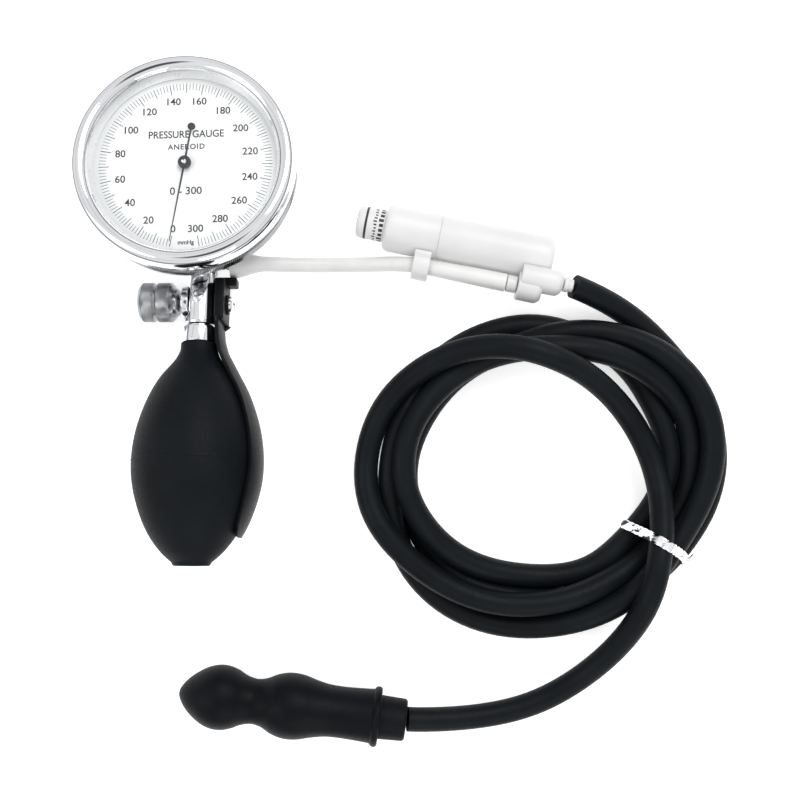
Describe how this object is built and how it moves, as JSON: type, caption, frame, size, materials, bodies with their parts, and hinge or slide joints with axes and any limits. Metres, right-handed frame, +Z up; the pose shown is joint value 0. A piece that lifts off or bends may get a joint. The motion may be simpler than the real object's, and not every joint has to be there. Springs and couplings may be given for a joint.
{
  "type": "aneroid pressure gauge set",
  "caption": "Hand-held dial pressure gauge on a valve tube with a squeeze bulb, an in-line indicator capsule, a tied coil of rubber hose and a contoured rubber pressure probe.",
  "frame": {"origin": "bottom centre of the box round the rigid pieces, on the surface the set lies on (the hoses, the thin tube and the tie are left out)", "axes": "+Z up, away from the table; +Y from the bulb's end towards the gauge, the longest way; +X from the gauge towards the hose coil"},
  "size_m": [0.2094, 0.2209, 0.0401],
  "materials": {
    "bezel_ring": "bright chrome, turned",
    "bulb_ferrule": "chrome plated brass",
    "capsule_body": "white plastic",
    "case_back": "plated steel plate",
    "check_valve_ball": "steel ball",
    "dial_plate": "white printed dial",
    "diaphragm_post": "turned brass",
    "front_sleeve": "white plastic",
    "gauge_case": "plated steel cup",
    "gauge_glass": "clear flat window",
    "gauge_stem": "turned brass",
    "guard_screw": "chrome screw head",
    "hairspring": "spring strip",
    "hand_guard": "black painted spring strip or plastic, satin",
    "hose_barb": "white plastic",
    "hose_coil": "matt blue black rubber",
    "hose_lead": "matt blue black rubber",
    "hose_tail": "matt blue black rubber",
    "indicator_plunger": "white plastic with black ring lines",
    "inlet_ball": "steel ball",
    "inlet_valve": "plated metal insert",
    "inner_flange": "grey satin ring",
    "knurled_ring": "chrome, fine slanted straight knurl",
    "manifold_block": "white plastic",
    "movement_frame": "stamped and turned brass",
    "outlet_barb": "chrome plated brass",
    "pinion_staff": "turned steel",
    "plunger_spring": "spring wire",
    "pointer": "matt black",
    "pressure_diaphragm": "thin corrugated capsule",
    "probe_collar": "black rubber",
    "probe_core": "grey plastic tube",
    "probe_sleeve": "satin black rubber",
    "release_knob": "chrome, diamond knurl",
    "sector_gear": "stamped brass",
    "squeeze_bulb": "matt blue black rubber",
    "thin_tube": "white soft tube",
    "tube_connector": "white plastic",
    "twist_tie": "crumpled silver foil over wire",
    "valve_body": "chrome plated brass",
    "valve_flange": "chrome plated brass",
    "valve_spindle": "turned steel"
  },
  "bodies": {
    "set_body": {"bezel_ring": "bezel_ring", "bulb_ferrule": "bulb_ferrule", "capsule_body": "capsule_body", "case_back": "case_back", "dial_plate": "dial_plate", "front_sleeve": "front_sleeve", "gauge_case": "gauge_case", "gauge_glass": "gauge_glass", "gauge_stem": "gauge_stem", "guard_screw": "guard_screw", "hairspring": "hairspring", "hand_guard": "hand_guard", "hose_barb": "hose_barb", "hose_coil": "hose_coil", "hose_lead": "hose_lead", "hose_tail": "hose_tail", "inlet_valve": "inlet_valve", "inner_flange": "inner_flange", "knurled_ring": "knurled_ring", "manifold_block": "manifold_block", "movement_frame": "movement_frame", "outlet_barb": "outlet_barb", "plunger_spring": "plunger_spring", "pressure_diaphragm": "pressure_diaphragm", "probe_collar": "probe_collar", "probe_core": "probe_core", "probe_sleeve": "probe_sleeve", "squeeze_bulb": "squeeze_bulb", "thin_tube": "thin_tube", "tube_connector": "tube_connector", "twist_tie": "twist_tie", "valve_body": "valve_body", "valve_flange": "valve_flange"},
    "pointer_staff": {"pointer": "pointer", "pinion_staff": "pinion_staff"},
    "sector": {"sector_gear": "sector_gear"},
    "post": {"diaphragm_post": "diaphragm_post"},
    "spindle": {"valve_spindle": "valve_spindle"},
    "knob": {"release_knob": "release_knob"},
    "plunger": {"indicator_plunger": "indicator_plunger"},
    "check_ball": {"check_valve_ball": "check_valve_ball"},
    "inlet_valve_ball": {"inlet_ball": "inlet_ball"}
  },
  "joints": [
    {"name": "sector_turn", "type": "hinge", "parent": "set_body", "child": "sector", "pos_m": [-0.03403, 0.07434, 0.0164], "axis": [0, 0.1771, 0.9842], "range_deg": [0, 37.85], "stiffness_Nm_per_rad": 0.0002, "springref_deg": -28.65},
    {"name": "pointer_turn", "type": "hinge", "parent": "set_body", "child": "pointer_staff", "pos_m": [-0.04403, 0.07566, 0.02373], "axis": [0, 0.1771, 0.9842], "range_deg": [-340.7, 0]},
    {"name": "post_lift", "type": "slide", "parent": "set_body", "child": "post", "axis": [0, 0.1771, 0.9842], "range_m": [0, 0.0014], "stiffness_N_per_m": 10, "springref_m": -0.0005},
    {"name": "knob_turn", "type": "hinge", "parent": "spindle", "child": "knob", "pos_m": [-0.05543, 0.03311, 0.01086], "axis": [-1, 0, 0], "range_deg": [0, 540]},
    {"name": "spindle_out", "type": "slide", "parent": "set_body", "child": "spindle", "axis": [-1, 0, 0], "range_m": [0, 0.0012]},
    {"name": "plunger_in", "type": "slide", "parent": "set_body", "child": "plunger", "axis": [0.9803, -0.1977, 0], "range_m": [0, 0.0076], "stiffness_N_per_m": 150, "springref_m": -0.003, "deforming": ["plunger_spring"]},
    {"name": "check_ball_lift", "type": "slide", "parent": "set_body", "child": "check_ball", "axis": [0, 0.9842, -0.1771], "range_m": [0, 0.0004]},
    {"name": "inlet_ball_lift", "type": "slide", "parent": "set_body", "child": "inlet_valve_ball", "axis": [0, 0.9842, -0.1771], "range_m": [0, 0.0008]}
  ],
  "couplings": [
    {"joint": "pointer_turn", "follows": "sector_turn", "ratio": -9},
    {"joint": "spindle_out", "follows": "knob_turn", "m_per_rad": 0.0001273}
  ]
}
